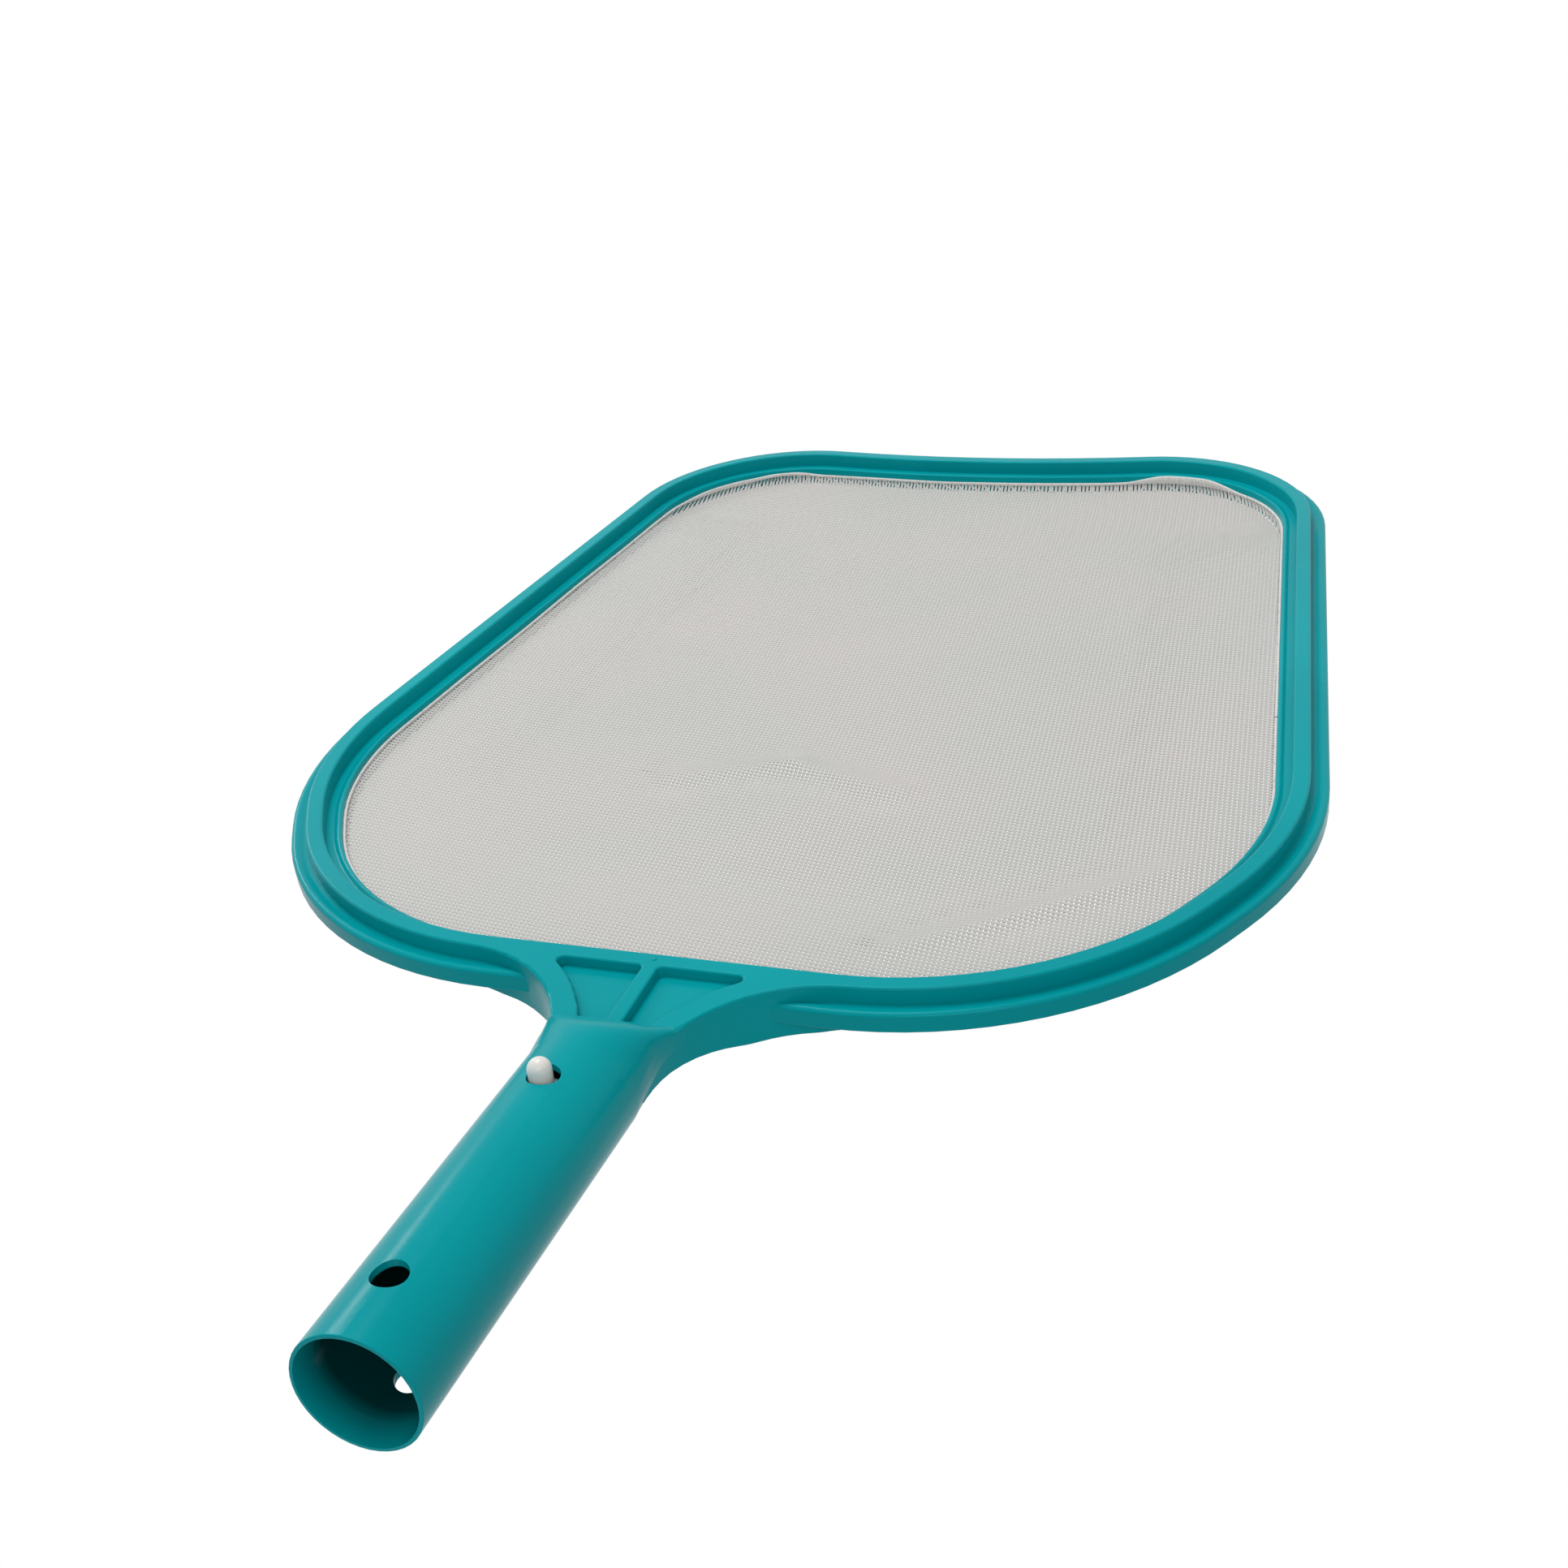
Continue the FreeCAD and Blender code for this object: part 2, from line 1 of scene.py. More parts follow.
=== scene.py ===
import bpy
import math
import random
from collections import namedtuple
from mathutils import Matrix, Vector
from mathutils.kdtree import KDTree


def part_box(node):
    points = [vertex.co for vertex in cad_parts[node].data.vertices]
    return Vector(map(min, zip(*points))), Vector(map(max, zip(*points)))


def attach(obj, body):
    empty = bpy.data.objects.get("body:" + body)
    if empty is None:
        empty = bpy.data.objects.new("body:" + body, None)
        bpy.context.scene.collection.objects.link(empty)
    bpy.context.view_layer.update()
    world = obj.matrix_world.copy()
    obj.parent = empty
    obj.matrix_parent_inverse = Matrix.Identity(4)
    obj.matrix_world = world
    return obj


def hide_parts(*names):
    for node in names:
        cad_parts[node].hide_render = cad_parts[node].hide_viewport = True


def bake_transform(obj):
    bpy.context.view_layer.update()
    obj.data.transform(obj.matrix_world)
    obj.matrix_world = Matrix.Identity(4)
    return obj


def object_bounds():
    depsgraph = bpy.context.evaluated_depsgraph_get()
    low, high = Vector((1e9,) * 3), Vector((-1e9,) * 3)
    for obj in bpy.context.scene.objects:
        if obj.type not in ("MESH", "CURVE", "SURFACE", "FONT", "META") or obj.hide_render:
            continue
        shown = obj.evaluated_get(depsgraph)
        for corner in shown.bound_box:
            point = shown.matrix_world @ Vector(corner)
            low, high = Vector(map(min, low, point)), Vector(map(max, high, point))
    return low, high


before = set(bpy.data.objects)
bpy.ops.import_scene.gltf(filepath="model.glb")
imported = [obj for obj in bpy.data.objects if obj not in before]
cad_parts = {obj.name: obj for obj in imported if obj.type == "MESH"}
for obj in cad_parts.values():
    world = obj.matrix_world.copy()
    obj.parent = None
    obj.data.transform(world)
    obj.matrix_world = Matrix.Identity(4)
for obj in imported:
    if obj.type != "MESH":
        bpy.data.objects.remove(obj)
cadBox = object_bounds()
bpy.ops.object.select_all(action="DESELECT")
mm = 0.001


# ways to write a material

class Wire:
    # an output of a node, which can stand in plain sums
    def __init__(self, tree, socket):
        self.tree = tree
        self.socket = socket

    def sum(self, operation, first, second):
        return self.tree.node("Math", {"operation": operation}, {0: first, 1: second})

    def __add__(self, other):
        return self.sum("ADD", self, other)

    def __sub__(self, other):
        return self.sum("SUBTRACT", self, other)

    def __rsub__(self, other):
        return self.sum("SUBTRACT", other, self)

    def __mul__(self, other):
        return self.sum("MULTIPLY", self, other)

    def __pow__(self, other):
        return self.sum("POWER", self, other)

    def atLeast(self, other):
        return self.sum("MAXIMUM", self, other)


class Tree:
    # the nodes of a material or of the world, each made and linked in one call
    def __init__(self, owner):
        owner.use_nodes = True
        self.nodes = owner.node_tree.nodes
        self.links = owner.node_tree.links

    def node(self, kind, settings=None, sockets=None, output=0):
        made = self.nodes.new("ShaderNode" + kind)
        for key, value in (settings or {}).items():
            setattr(made, key, value)
        for key, value in (sockets or {}).items():
            if isinstance(value, Wire):
                self.links.new(value.socket, made.inputs[key])
            else:
                made.inputs[key].default_value = value
        return Wire(self, made.outputs[output])

    def seen(self):
        # 1 where it is looked at, straight, mirrored or through glass, and 0 where it only lights
        share = self.node("LightPath", output="Is Camera Ray")
        for ray in ("Is Glossy Ray", "Is Transmission Ray"):
            share = share.atLeast(self.node("LightPath", output=ray))
        return share


class Finish(Tree):
    # a material on the object's own coordinates
    def __init__(self, name, **constants):
        self.material = bpy.data.materials.new(name)
        super().__init__(self.material)
        self.shader = self.nodes["Principled BSDF"]
        for socket, value in constants.items():
            self.shader.inputs[socket.replace("_", " ")].default_value = value
        self.place = self.node("TexCoord", output="Object")

    def noise(self, scale, detail=3.0, rough=0.55, stretch=(1, 1, 1)):
        place = self.node("Mapping", {"vector_type": "POINT"}, {"Vector": self.place, "Scale": stretch})
        sockets = {"Vector": place, "Scale": scale, "Detail": detail, "Roughness": rough}
        return self.node("TexNoise", None, sockets)

    def between(self, share, low, high):
        # share from 0 to 1 taken to the range low to high, kept inside it
        sockets = {"Value": share, "To Min": low, "To Max": high}
        return self.node("MapRange", {"clamp": True}, sockets)

    def spread(self, share, low=0.35, high=0.65):
        # low to high stretched to 0 to 1, because noise keeps near its middle
        sockets = {"Value": share, "From Min": low, "From Max": high}
        return self.node("MapRange", {"clamp": True}, sockets)

    def mix(self, share, first, second):
        return self.node("Mix", {"data_type": "RGBA"}, {0: share, 6: first, 7: second}, output=2)

    def bump(self, height, strength, distance, under=None):
        sockets = {"Height": height, "Strength": strength, "Distance": distance}
        if under:
            sockets["Normal"] = under
        return self.node("Bump", None, sockets)

    def glow(self, share):
        # plain white mixed over the surface
        light = self.node("Emission", None, {"Color": (1, 1, 1, 1), "Strength": 1.0})
        surface = Wire(self, self.shader.outputs[0])
        mixed = self.node("MixShader", None, {0: share, 1: surface, 2: light})
        self.links.new(mixed.socket, self.nodes["Material Output"].inputs["Surface"])

    def feed(self, **wires):
        for socket, wire in wires.items():
            self.links.new(wire.socket, self.shader.inputs[socket.replace("_", " ")])


def srgb(red, green, blue):
    # 0 to 255 as seen on a screen, to the linear colour that a shader takes
    linear = [(value / 255 / 12.92) if value < 11 else ((value / 255 + 0.055) / 1.055) ** 2.4
              for value in (red, green, blue)]
    return (*linear, 1.0)


# camera: the photograph's own place and turn, as fitted to the rim and the handle

camera = {
    "place": (0.18855, -0.19941, 0.26601),
    "right": (0.94559, 0.30955, -0.10024),
    "up": (-0.07445, 0.50574, 0.85947),
    "back": (0.31674, -0.80524, 0.50127),
    "lens": 42.857,
    "sensor": 36.0,
    "shift": (-0.02914, 0.00642),
    "clipStart": 0.01,
}


def placeCamera():
    data = bpy.data.cameras.new("photoView")
    data.sensor_fit = "HORIZONTAL"
    data.sensor_width = camera["sensor"]
    data.lens = camera["lens"]
    data.shift_x, data.shift_y = camera["shift"]
    data.clip_start = camera["clipStart"]
    view = bpy.data.objects.new("photoView", data)
    turn = Matrix((camera["right"], camera["up"], camera["back"])).transposed().to_quaternion()
    view.matrix_world = Matrix.Translation(camera["place"]) @ turn.to_matrix().to_4x4()
    bpy.context.scene.collection.objects.link(view)
    bpy.context.scene.camera = view


placeCamera()
print("camera placed")


# floor, lamps and surroundings

studio = {
    "floorHalf": 6.0,
    "floorMiddle": (0.0, 0.25),
    "floorGap": 0.0004,
    "floorColour": (0.86, 0.86, 0.86, 1),
    "floorDull": 0.9,
    "floorShine": 0.1,
    "cloudScale": 0.8,            # faint unevenness of the floor's colour
    "cloudLift": 1.02,
    "floorGlow": (0.4, 1.0),      # share of plain white seen near the object and far from it
    "glowFrom": (0.45, 1.1),      # distances between which that share grows
    "worldLight": 0.44,
    "lamps": [
        # name, place, looks at, size, watts
        ("key", (-0.3, 0.5, 1.15), (0.0, 0.25, 0.0), (0.55, 0.45), 7.8),
        ("front", (0.5, -1.0, 0.9), (0.0, 0.2, 0.0), (0.7, 0.5), 5.2),
        ("edge", (-1.0, 0.9, 0.6), (0.0, 0.15, 0.0), (0.25, 0.2), 2.6),
    ],
}


def dressWorld():
    # white where it is looked at, and dimmer as a light
    world = bpy.data.worlds.new("studioAir")
    air = Tree(world)
    bpy.context.scene.world = world
    background = air.nodes["Background"]
    background.inputs["Color"].default_value = (1, 1, 1, 1)
    sockets = {"Value": air.seen(), "To Min": studio["worldLight"], "To Max": 1.0}
    level = air.node("MapRange", None, sockets)
    air.links.new(level.socket, background.inputs["Strength"])


def layFloor():
    height = cadBox[0][2] - studio["floorGap"]
    bpy.ops.mesh.primitive_plane_add(size=2 * studio["floorHalf"],
                                     location=(*studio["floorMiddle"], height))
    floor = bpy.context.object
    floor.name = "studioFloor"
    finish = Finish("paleFloor", Roughness=studio["floorDull"], Specular_IOR_Level=studio["floorShine"])
    colour = studio["floorColour"]
    lifted = [level * studio["cloudLift"] for level in colour]
    finish.feed(Base_Color=finish.mix(finish.noise(studio["cloudScale"]), colour, lifted))
    away = finish.node("VectorMath", {"operation": "LENGTH"}, {0: finish.place}, output="Value")
    near, far = studio["glowFrom"]
    share = finish.between(finish.spread(away, near, far), *studio["floorGlow"])
    finish.glow(share * finish.seen())
    floor.data.materials.append(finish.material)


def hangLamps():
    for name, place, target, size, watts in studio["lamps"]:
        data = bpy.data.lights.new(name, "AREA")
        data.shape = "RECTANGLE"
        data.size, data.size_y = size
        data.energy = watts
        lamp = bpy.data.objects.new(name, data)
        lamp.location = place
        lamp.rotation_euler = (Vector(target) - Vector(place)).to_track_quat("-Z", "Y").to_euler()
        bpy.context.scene.collection.objects.link(lamp)


dressWorld()
layFloor()
hangLamps()
bpy.context.scene.view_settings.view_transform = "Standard"
print("floor and lamps placed")


# finishes

handle = {
    # the handle's own sizes, in metres, as in the part's source
    "tilt": 3.8,                      # degrees down towards the rim
    "boreRadius": 0.0127,
    "mouthRadius": 0.0136,
    "taper": 0.006,                   # how far the mouth's widening reaches in
    "boreEnd": 0.1045,
}

moulding = {
    "tints": (srgb(0, 148, 156), srgb(1, 158, 165)),
    "speckTint": srgb(10, 166, 172),
    # painted shade: a near-black teal that stands in for the shade inside the handle's bore
    "boreShadeTint": srgb(1, 60, 62),
    "shine": 0.055,
    "roughness": (0.17, 0.31),
    "driftScale": 9,                  # slow change of tint over the moulding
    "flowScale": 30,                  # flow of the plastic along the handle
    "flowShare": 0.6,
    "grainScale": 1500,               # fine texture of the mould
    "waveScale": 120,                 # slight shrinkage
    "speckScale": 420,
    "speckFrom": (0.66, 0.78),
    "speckShare": 0.25,
    "boreShadeSkin": (-0.0003, -0.0001),   # where the bore's painted shade begins, out from its wall
    "boreShadeDeep": (0.0004, 0.009),      # where the painted shade comes up, in from the mouth
}

buttonLook = {
    "tints": (srgb(222, 226, 226), srgb(228, 226, 218)),
    "shine": 0.45,
    "roughness": (0.24, 0.38),
    "cloudScale": 300,
    "smearScale": 900,
    "grainScale": 1800,
}

springLook = {
    "tints": (srgb(150, 152, 158), srgb(198, 200, 204)),
    "roughness": (0.2, 0.42),
    "cloudScale": 120,
    "streakScale": 900,
    "streakShare": 0.7,
}

threadLook = {
    "tints": (srgb(185, 186, 182), srgb(192, 188, 185)),
    "fineTint": srgb(191, 190, 186),
    "fineShare": 0.6,
    "shine": 0.3,
    "sheen": 0.15,
    "sheenWidth": 0.5,
    "roughness": (0.5, 0.72),
    "wideScale": 11,
    "fineScale": 700,
    "grainScale": 4000,
}

hemLook = {
    # partly the sealed edge's own paler colour and partly painted light that lifts its upright face out
    # of shade
    "tints": (srgb(214, 214, 212), srgb(226, 225, 222)),
    "shine": 0.25,
    "roughness": (0.45, 0.65),
    "weaveScale": 900,
}


def boreShadeShare(finish):
    # 1 inside the handle's bore, where painted shade darkens the moulding's colour, and 0 elsewhere
    tilt = math.radians(handle["tilt"])
    x, y, z = (finish.node("SeparateXYZ", None, {0: finish.place}, output=axis) for axis in "XYZ")
    station = y * math.cos(tilt) - z * math.sin(tilt)
    rise = y * math.sin(tilt) + z * math.cos(tilt)
    radius = (x * x + rise * rise) ** 0.5
    slope = (handle["mouthRadius"] - handle["boreRadius"]) / handle["taper"]
    edge = (handle["mouthRadius"] - station * slope).atLeast(handle["boreRadius"])
    within = finish.spread(edge - radius, *moulding["boreShadeSkin"])
    deep = finish.spread(station, *moulding["boreShadeDeep"])
    before = finish.node("Math", {"operation": "LESS_THAN"}, {0: station, 1: handle["boreEnd"]})
    return within * deep * before


def mouldedPlastic():
    look = moulding
    finish = Finish("tealMoulding", Specular_IOR_Level=look["shine"], Metallic=0.0)
    drift = finish.spread(finish.noise(look["driftScale"], detail=2))
    flow = finish.noise(look["flowScale"], detail=4, rough=0.6, stretch=(1, 0.25, 1))
    flow = finish.spread(flow, 0.3, 0.7)
    grain = finish.noise(look["grainScale"], detail=2, rough=0.6)
    wave = finish.noise(look["waveScale"], detail=2, rough=0.5)
    speck = finish.spread(finish.noise(look["speckScale"], rough=0.7), *look["speckFrom"])
    tint = finish.mix(drift, *look["tints"])
    tint = finish.mix(speck * look["speckShare"], tint, look["speckTint"])
    # painted shade: the bore's inside takes the dark tint, though it is the same plastic
    finish.feed(Base_Color=finish.mix(boreShadeShare(finish), tint, look["boreShadeTint"]))
    uneven = flow * look["flowShare"] + grain * (1 - look["flowShare"])
    finish.feed(Roughness=finish.between(uneven, *look["roughness"]))
    soft = finish.bump(wave, strength=0.12, distance=0.0006)
    finish.feed(Normal=finish.bump(grain, strength=0.18, distance=0.00012, under=soft))
    return finish.material


def buttonPlastic():
    look = buttonLook
    finish = Finish("whiteButton", Specular_IOR_Level=look["shine"])
    cloud = finish.spread(finish.noise(look["cloudScale"]))
    finish.feed(Base_Color=finish.mix(cloud, *look["tints"]))
    finish.feed(Roughness=finish.between(finish.noise(look["smearScale"]), *look["roughness"]))
    grain = finish.noise(look["grainScale"], detail=2)
    finish.feed(Normal=finish.bump(grain, strength=0.12, distance=0.0001))
    return finish.material


def rolledSteel():
    look = springLook
    finish = Finish("springSteel", Metallic=1.0)
    streak = finish.noise(look["streakScale"], detail=4, rough=0.65, stretch=(1, 0.05, 1))
    cloud = finish.spread(finish.noise(look["cloudScale"]), 0.35, 0.7)
    finish.feed(Base_Color=finish.mix(cloud, *look["tints"]))
    uneven = streak * look["streakShare"] + cloud * (1 - look["streakShare"])
    finish.feed(Roughness=finish.between(uneven, *look["roughness"]))
    finish.feed(Normal=finish.bump(streak, strength=0.2, distance=0.0001))
    return finish.material


def meshThread():
    look = threadLook
    finish = Finish("meshThread", Specular_IOR_Level=look["shine"],
                    Sheen_Weight=look["sheen"], Sheen_Roughness=look["sheenWidth"])
    wide = finish.spread(finish.noise(look["wideScale"], detail=2), 0.38, 0.62)
    fine = finish.spread(finish.noise(look["fineScale"], rough=0.6))
    tint = finish.mix(wide, *look["tints"])
    finish.feed(Base_Color=finish.mix(fine * look["fineShare"], tint, look["fineTint"]))
    finish.feed(Roughness=finish.between(fine, *look["roughness"]))
    grain = finish.noise(look["grainScale"], detail=2)
    finish.feed(Normal=finish.bump(grain, strength=0.25, distance=0.00008))
    return finish.material


def hemFinish():
    look = hemLook
    finish = Finish("sealedHem", Specular_IOR_Level=look["shine"])
    weave = finish.noise(look["weaveScale"], detail=2, rough=0.5, stretch=(1, 1, 0.3))
    # the pale tints carry painted light on the upright ribbon as well as its own colour
    finish.feed(Base_Color=finish.mix(finish.spread(weave), *look["tints"]))
    finish.feed(Roughness=finish.between(weave, *look["roughness"]))
    finish.feed(Normal=finish.bump(weave, strength=0.3, distance=0.0001))
    return finish.material


teal = mouldedPlastic()
white = buttonPlastic()
steel = rolledSteel()
thread = meshThread()
sealed = hemFinish()


def dressNode(name, material):
    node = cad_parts[name]
    node.data.materials.clear()
    node.data.materials.append(material)


dressNode("skimmer_frame", teal)
dressNode("upper_button", white)
dressNode("lower_button", white)
print("finishes made")


# net: one cloth of crossed threads, flat inside the rim and turned up along the ledge's wall

net = {
    "height": -11.85,            # middle of the flat cloth, mm
    "longPitch": 1.36,
    "longTurn": 95.0,            # direction of the long threads, degrees from +X
    "crossPitch": 1.55,
    "crossTurn": -8.0,
    "threadWide": 0.48,          # half of a flat thread's width
    "threadThick": 0.05,
    "layer": 0.045,              # how far the two sets lie apart from the cloth's middle
    "stand": 0.22,               # from the net's edge in the frame to the turned-up cloth
    "step": 8.0,                 # between a thread's points where it lies flat
    "foldStep": 2.2,
    "foldMargin": 2.0,           # how far past a fold its closer points go
    "hemStep": 0.9,
    "hemMargin": 0.3,
    "fray": 0.35,                # how unevenly the threads end
    "frayShort": 0.7,            # share of that by which they may end early
    "smooth": 70,
    "seed": 11,
}

outline = {
    "gap": 0.5,                  # between the places taken along the net's outline, mm
    "reach": 4,                  # places ahead and behind that give the direction there
}

# where threads are looked for: the middle of the net, how far out, and by what step
search = {"middle": (0.0, 325.0), "reach": 260, "step": 3, "halvings": 7}

hem = {
    "farFrom": (430.0, 470.0),   # along Y, where the back and side edges change into the front one
    "frontTurn": 2.6,            # radius of the cloth's turn up the wall
    "sideTurn": 0.7,
    "frontTop": -9.3,            # top of the turned-up cloth
    "sideLift": 1.9,             # how far the cloth rises towards the back and side walls
    "liftOver": 45.0,
    "sideStand": 0.55,           # what stands above the turn there
    "waver": 0.15,               # how far the top goes up and down
    "waverRun": (9.0, 13.0),
    "ribbon": 0.9,               # height of the sealed edge
    "ribbonInside": (-0.08, 0.6),
    "ribbonOver": 0.05,          # how far it stands over the threads
    "ribbonEvery": 2,            # places of the wall from one of its sections to the next
    "chamfer": 0.14,
    "smooth": 50,
    "drawnFrom": 0.3,            # how far up the front turn the cross threads still hold
    "cutMargin": 2.0,            # what turns up at each side of the flat cut
}

# places where the front edge stands higher: x and y of the middle, half-width, top, ribbon there
humps = [
    (-108.0, 478.0, 24.0, -8.7, 1.7),
    (-85.0, 487.0, 17.0, -8.2, 1.2),
    (80.0, 491.0, 25.0, -6.9, 3.0),
    (20.0, 489.0, 40.0, -9.3, 1.1),
]
humpSlope = 1.4

# soft folds of the flat cloth: from, to, half-width, height
folds = [
    ((55.0, 172.0), (133.0, 229.0), 5.0, 1.9),
    ((-38.0, 250.0), (-4.0, 262.0), 6.0, 0.9),
    ((-4.0, 262.0), (30.0, 252.0), 6.0, 0.9),
]

# long low waves of the flat cloth, and one bulge
waves = {"height": 0.22, "run": (31.0, 47.0), "shift": 0.6}
bulge = {"height": 0.9, "x": 2, "y": 238, "spread": 700}

HemEdge = namedtuple("HemEdge", "lift turn top ribbon front")


def netOutline():
    # the CAD net's outer edge at its foot, anticlockwise, in mm
    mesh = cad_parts["net_panel"].data
    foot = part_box("net_panel")[0].z
    beside = {}

    def spot(index):
        place = mesh.vertices[index].co
        return (round(place.x / mm, 3), round(place.y / mm, 3)), abs(place.z - foot) < 1e-5

    for face in mesh.polygons:
        if abs(face.normal.z) > 0.5:
            continue
        corners = [spot(index) for index in face.vertices]
        for (first, firstLow), (second, secondLow) in zip(corners, corners[1:] + corners[:1]):
            if firstLow and secondLow and first != second:
                beside.setdefault(first, set()).add(second)
                beside.setdefault(second, set()).add(first)
    start = min(beside)
    loop = [start]
    before = None
    while True:
        here = loop[-1]
        ahead = [corner for corner in beside[here] if corner != before]
        before = here
        if not ahead or ahead[0] == start or len(loop) > len(beside):
            break
        loop.append(ahead[0])
    area = sum(a[0] * b[1] - b[0] * a[1] for a, b in zip(loop, loop[1:] + loop[:1]))
    return loop if area > 0 else loop[::-1]


def evenly(loop, gap, reach):
    # points at an even gap along the loop, each with the inward direction there
    points = []
    for (ax, ay), (bx, by) in zip(loop, loop[1:] + loop[:1]):
        count = max(1, round(math.hypot(bx - ax, by - ay) / gap))
        for i in range(count):
            points.append(Vector((ax + (bx - ax) * i / count, ay + (by - ay) * i / count)))
    places = []
    for i, point in enumerate(points):
        run = (points[(i + reach) % len(points)] - points[i - reach]).normalized()
        places.append((point, Vector((-run.y, run.x))))
    return places


walls = evenly(netOutline(), outline["gap"], outline["reach"])
wallTree = KDTree(len(walls))
for index, (point, inward) in enumerate(walls):
    wallTree.insert((point.x, point.y, 0), index)
wallTree.balance()


def smooth(share):
    share = min(max(share, 0.0), 1.0)
    return share * share * (3 - 2 * share)


def hemShape(point):
    # at one place of the wall: the cloth's lift, the radius of its turn, its top,
    # the height of its sealed edge, and how far the place belongs to the front
    front = smooth((point.y - hem["farFrom"][0]) / (hem["farFrom"][1] - hem["farFrom"][0]))
    lift = hem["sideLift"] * (1 - front)
    turn = hem["sideTurn"] + (hem["frontTurn"] - hem["sideTurn"]) * front
    sideTop = net["height"] + lift + turn + hem["sideStand"]
    top = sideTop + (hem["frontTop"] - sideTop) * front
    runX, runY = hem["waverRun"]
    top += hem["waver"] * math.sin(point.x / runX) * math.sin(point.y / runY + 1.0)
    ribbon = hem["ribbon"]
    for x, y, half, height, wide in humps:
        near = smooth(humpSlope - humpSlope * math.hypot(point.x - x, point.y - y) / half)
        top += (height - top) * near
        ribbon += (wide - ribbon) * near
    return HemEdge(lift, turn, top, ribbon, front)


hems = [hemShape(point) for point, inward in walls]


def fromFold(x, y, first, last):
    # distance from the middle line of a fold
    spot = Vector((x, y)) - Vector(first)
    run = Vector(last) - Vector(first)
    share = min(max(spot.dot(run) / run.length_squared, 0), 1)
    return (spot - run * share).length


def flatRise(x, y):
    # gentle waves and folds of the flat cloth, in mm
    runX, runY = waves["run"]
    rise = waves["height"] * math.sin(x / runX + waves["shift"]) * math.sin(y / runY)
    away = (x - bulge["x"]) ** 2 + (y - bulge["y"]) ** 2
    rise += bulge["height"] * math.exp(-away / bulge["spread"])
    for first, last, half, height in folds:
        rise += height * math.exp(-(fromFold(x, y, first, last) / half) ** 2)
    return rise


def flatStep(x, y):
    # a thread's points lie closer together on a fold
    for first, last, half, height in folds:
        if fromFold(x, y, first, last) < 2 * half + net["foldMargin"]:
            return net["foldStep"]
    return net["step"]


def wallInfo(x, y):
    # how far a place lies inside the turned-up cloth, and the nearest place of the wall
    index = wallTree.find((x, y, 0))[1]
    point, inward = walls[index]
    return (Vector((x, y)) - point).dot(inward) - net["stand"], index


def turnedLength(index, extra=0.0):
    # cloth used from where the turn starts to the top of the hem
    edge = hems[index]
    return edge.turn * math.pi / 2 + max(0.0, edge.top + extra - net["height"] - edge.lift - edge.turn)


def lay(x, y, extra=0.0, drawn=False):
    # where a point of the flat cut lies in the rim, or None past the thread's end;
    # a drawn thread has come out of the turned-up front edge
    inside, index = wallInfo(x, y)
    edge = hems[index]
    turn = edge.turn
    if inside >= turn:
        lifted = 1 - smooth((inside - turn) / hem["liftOver"])
        return Vector((x, y, net["height"] + edge.lift * lifted + flatRise(x, y) * (1 - lifted)))
    used = turn - inside
    gone = drawn and edge.front > 0.5 and used > hem["drawnFrom"]
    if gone or used > turnedLength(index, extra):
        return None
    foot = net["height"] + edge.lift
    if used < turn * math.pi / 2:
        angle = used / turn
        away = turn * (1 - math.sin(angle))
        height = foot + turn * (1 - math.cos(angle))
    else:
        away = 0.0
        height = foot + turn + used - turn * math.pi / 2
    point, inward = walls[index]
    base = point + inward * (net["stand"] + away)
    return Vector((base.x, base.y, height))


def threadEnd(start, direction, known, beyond, drawn):
    # where the thread ends, between a place that it reaches and one that it doesn't
    uneven = net["fray"] * (random.random() - net["frayShort"])
    for halving in range(search["halvings"]):
        half = (known + beyond) / 2
        if lay(*(start + direction * half), uneven, drawn) is None:
            beyond = half
        else:
            known = half
    return known


def threadStations(start, direction, first, last):
    # places along a thread: far apart where it is flat, close where it folds or turns up
    stations = []
    along = first
    while along < last:
        stations.append(along)
        here = start + direction * along
        inside, index = wallInfo(*here)
        flat = inside - hems[index].turn
        if flat < net["hemMargin"]:
            along += net["hemStep"]
        else:
            along += min(flatStep(*here), max(net["hemStep"], flat))
    return stations + [last]


def threadRuns(turn, pitch, drawn=False):
    # points along each thread of one direction
    direction = Vector((math.cos(math.radians(turn)), math.sin(math.radians(turn))))
    side = Vector((-direction.y, direction.x))
    reach, step = search["reach"], search["step"]
    count = int(reach / pitch)
    runs = []
    for number in range(-count, count + 1):
        start = Vector(search["middle"]) + side * number * pitch
        inside = [along for along in range(-reach, reach + 1, step)
                  if lay(*(start + direction * along), drawn=drawn) is not None]
        if not inside:
            continue
        first = threadEnd(start, direction, inside[0], inside[0] - step, drawn)
        last = threadEnd(start, direction, inside[-1], inside[-1] + step, drawn)
        stations = threadStations(start, direction, first, last)
        run = [lay(*(start + direction * station), net["fray"]) for station in stations]
        runs.append([point for point in run if point is not None])
    return runs


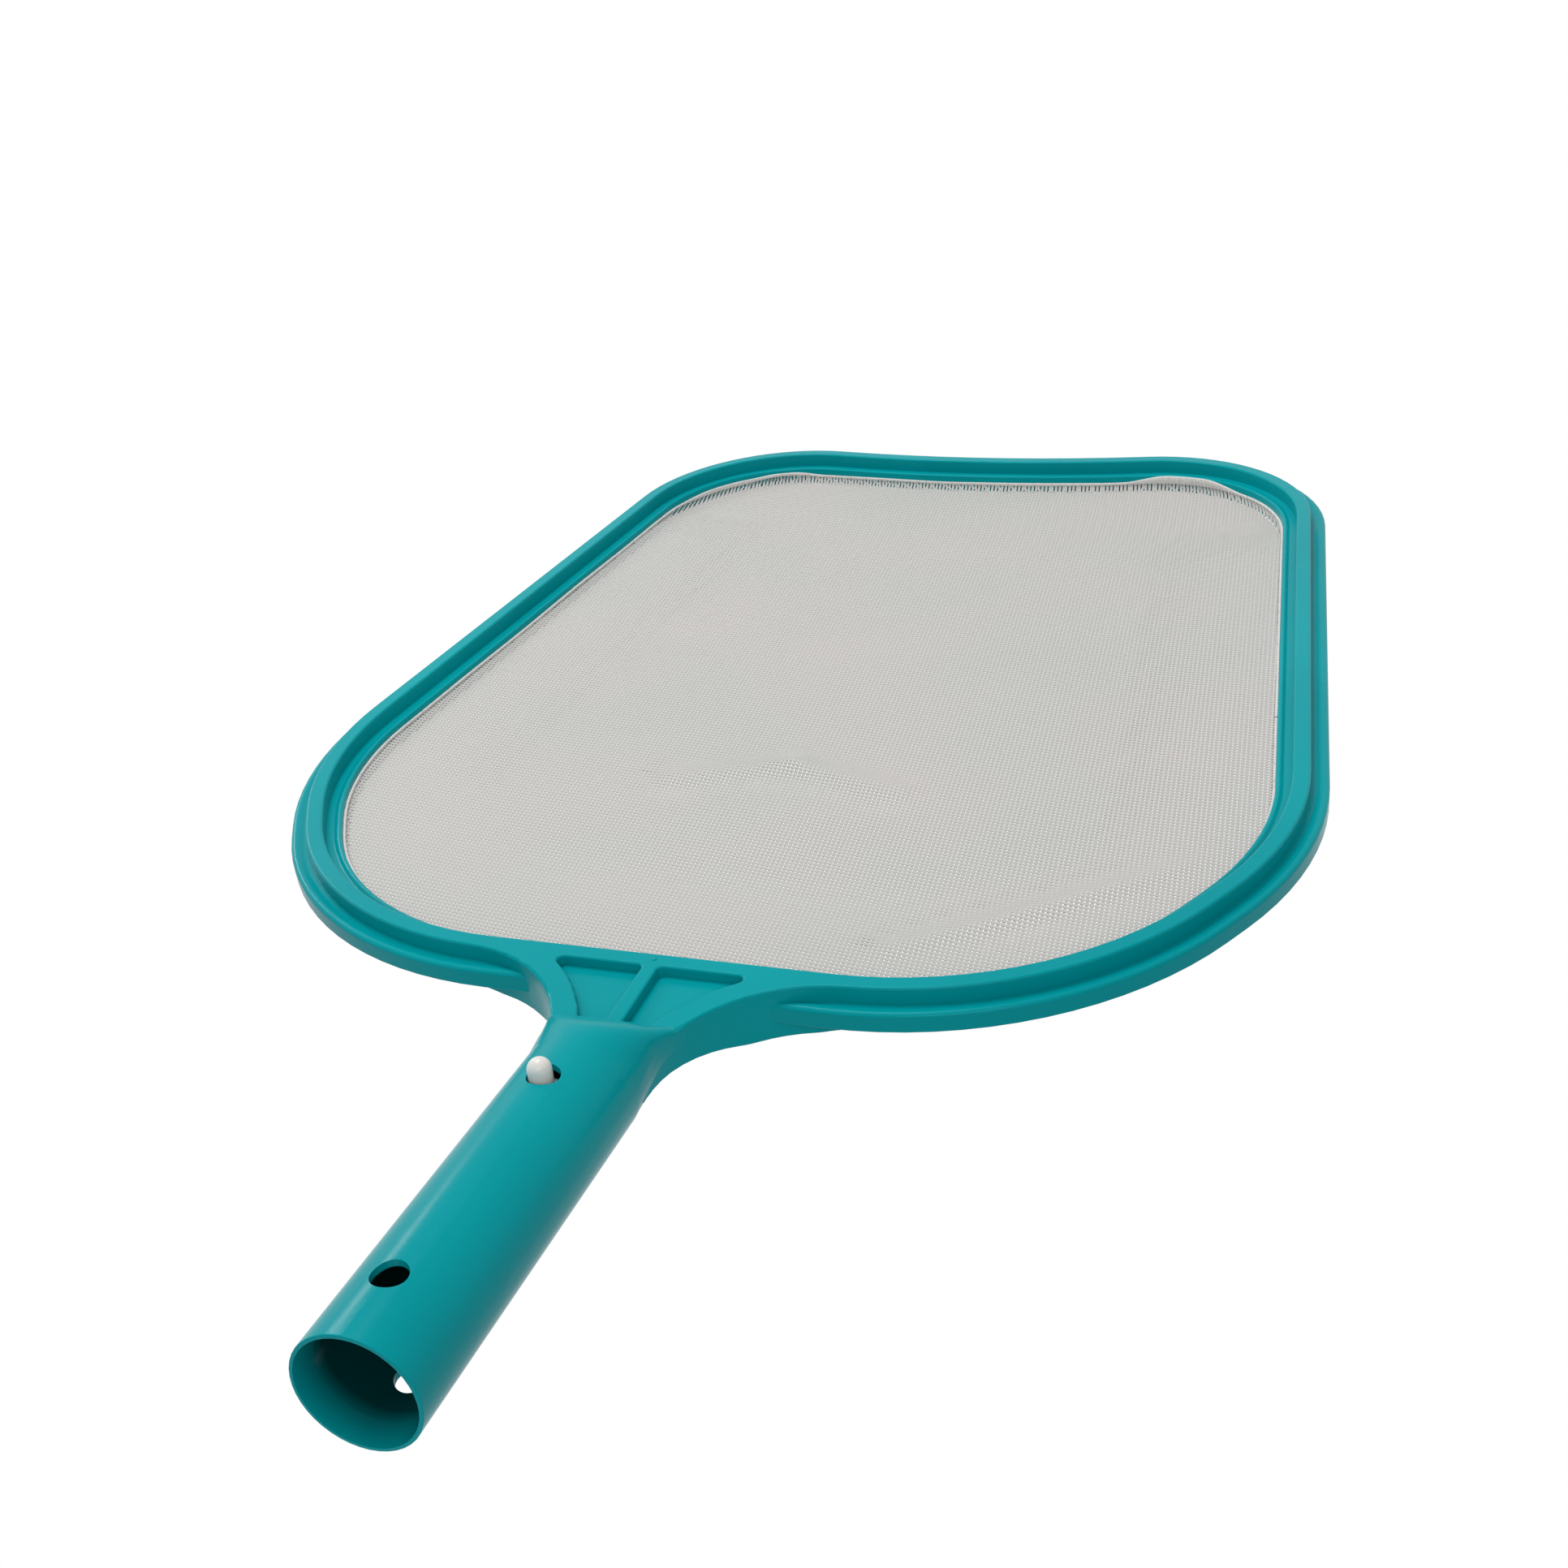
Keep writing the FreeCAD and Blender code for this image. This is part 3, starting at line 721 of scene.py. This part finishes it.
def threadStrips(sets):
    # closed flat threads along the runs, each set on its own side of the cloth's middle
    vertices = []
    faces = []
    wide, thick = net["threadWide"], net["threadThick"]
    for runs, side in sets:
        for run in runs:
            base = len(vertices)
            for i, point in enumerate(run):
                ahead = (run[min(i + 1, len(run) - 1)] - run[max(i - 1, 0)]).normalized()
                across = ahead.cross(Vector((0, 0, 1)))
                if across.length < 0.2:
                    # the thread runs upright here, so it lies along the wall
                    inward = walls[wallInfo(point.x, point.y)[1]][1]
                    across = Vector((-inward.y, inward.x, 0))
                across.normalize()
                upright = across.cross(ahead).normalized()
                middle = point + upright * side * net["layer"]
                for a, b in ((-1, -1), (1, -1), (1, 1), (-1, 1)):
                    vertices.append((middle + across * a * wide + upright * b * thick) * mm)
            last = base + (len(run) - 1) * 4
            for ring in range(base, last, 4):
                for k in range(4):
                    a, b = ring + k, ring + (k + 1) % 4
                    faces.append((a, b, b + 4, a + 4))
            faces.append((base + 3, base + 2, base + 1, base))
            faces.append((last, last + 1, last + 2, last + 3))
    mesh = bpy.data.meshes.new("net_mesh")
    mesh.from_pydata(vertices, [], faces)
    return mesh


def ribbonMesh():
    # sealed edge of the cloth: a closed ring along the wall
    vertices = []
    faces = []
    outer, inner = hem["ribbonInside"]
    cut = hem["chamfer"]
    for index in range(0, len(walls), hem["ribbonEvery"]):
        point, inward = walls[index]
        top = hems[index].top + hem["ribbonOver"]
        foot = top - hems[index].ribbon
        section = [(outer, foot), (inner - cut, foot), (inner, foot + cut), (inner, top - cut),
                   (inner - cut, top), (outer, top)]
        for away, height in section:
            base = point + inward * away
            vertices.append((base.x * mm, base.y * mm, height * mm))
    corners = len(section)
    for ring in range(0, len(vertices), corners):
        after = (ring + corners) % len(vertices)
        for k in range(corners):
            beside = (k + 1) % corners
            faces.append((ring + k, ring + beside, after + beside, after + k))
    mesh = bpy.data.meshes.new("net_hem")
    mesh.from_pydata(vertices, [], faces)
    return mesh


def makeMesh(name, mesh, material, angle):
    # a finished piece of the mesh, with its faces outward
    piece = bpy.data.objects.new(name, mesh)
    bpy.context.scene.collection.objects.link(piece)
    bpy.context.view_layer.objects.active = piece
    piece.select_set(True)
    bpy.ops.object.mode_set(mode="EDIT")
    bpy.ops.mesh.select_all(action="SELECT")
    bpy.ops.mesh.normals_make_consistent(inside=False)
    bpy.ops.object.mode_set(mode="OBJECT")
    bpy.ops.object.shade_smooth_by_angle(angle=math.radians(angle))
    piece.select_set(False)
    piece.data.materials.append(material)
    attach(piece, "skimmer")
    return piece


random.seed(net["seed"])
longRuns = threadRuns(net["longTurn"], net["longPitch"])
crossRuns = threadRuns(net["crossTurn"], net["crossPitch"], drawn=True)
netMesh = makeMesh("net_mesh", threadStrips([(longRuns, -1), (crossRuns, 1)]), thread, net["smooth"])
netHem = makeMesh("net_hem", ribbonMesh(), sealed, hem["smooth"])
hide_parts("net_panel")
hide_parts("net_panel")
print("net threads", len(longRuns) + len(crossRuns), "faces", len(netMesh.data.polygons))


def cutArea():
    # area of the flat cut: the net's own outline and what turns up round it
    area = 0.0
    for index, (point, inward) in enumerate(walls):
        after = walls[(index + 1) % len(walls)][0]
        area += (point.x * after.y - after.x * point.y) / 2
        area += (after - point).length * (turnedLength(index) - hems[index].turn - net["stand"])
    return area * mm * mm


flatArea = cutArea()


# clip: the bent strip parted along the handle's axis into a leg above it and a leg below it

clip = {
    "cut": 38.0,        # station along the handle through which the strip is parted
    "start": 42.0,      # station where the legs start to move
    "end": 79.0,        # station where a leg moves fully with its button
    "weld": 1e-6,
    "smooth": 35,
}


def handlePoint(station, height=0.0):
    # a place in the handle, by mm along its axis and above it
    tilt = math.radians(handle["tilt"])
    return Vector((0, station * math.cos(tilt) + height * math.sin(tilt),
                   -station * math.sin(tilt) + height * math.cos(tilt))) * mm


def clipLeg(name, above):
    # the half of the strip above or below the handle's axis
    leg = bpy.data.objects.new(name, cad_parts["clip_spring"].data.copy())
    bpy.context.scene.collection.objects.link(leg)
    bpy.context.view_layer.objects.active = leg
    leg.select_set(True)
    leg.data.materials.clear()
    leg.data.materials.append(steel)
    bpy.ops.object.mode_set(mode="EDIT")
    bpy.ops.mesh.select_all(action="SELECT")
    bpy.ops.mesh.remove_doubles(threshold=clip["weld"])
    bpy.ops.mesh.select_all(action="SELECT")
    upward = handlePoint(0.0, 1.0).normalized()
    bpy.ops.mesh.bisect(plane_co=handlePoint(clip["cut"]), plane_no=upward, use_fill=True,
                        clear_inner=above, clear_outer=not above)
    bpy.ops.object.mode_set(mode="OBJECT")
    bpy.ops.object.shade_smooth_by_angle(angle=math.radians(clip["smooth"]))
    leg.select_set(False)
    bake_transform(leg)
    return leg


upperLeg = clipLeg("clip_leg_upper", True)
lowerLeg = clipLeg("clip_leg_lower", False)
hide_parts("clip_spring")
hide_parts("clip_spring")
print("clip legs made")
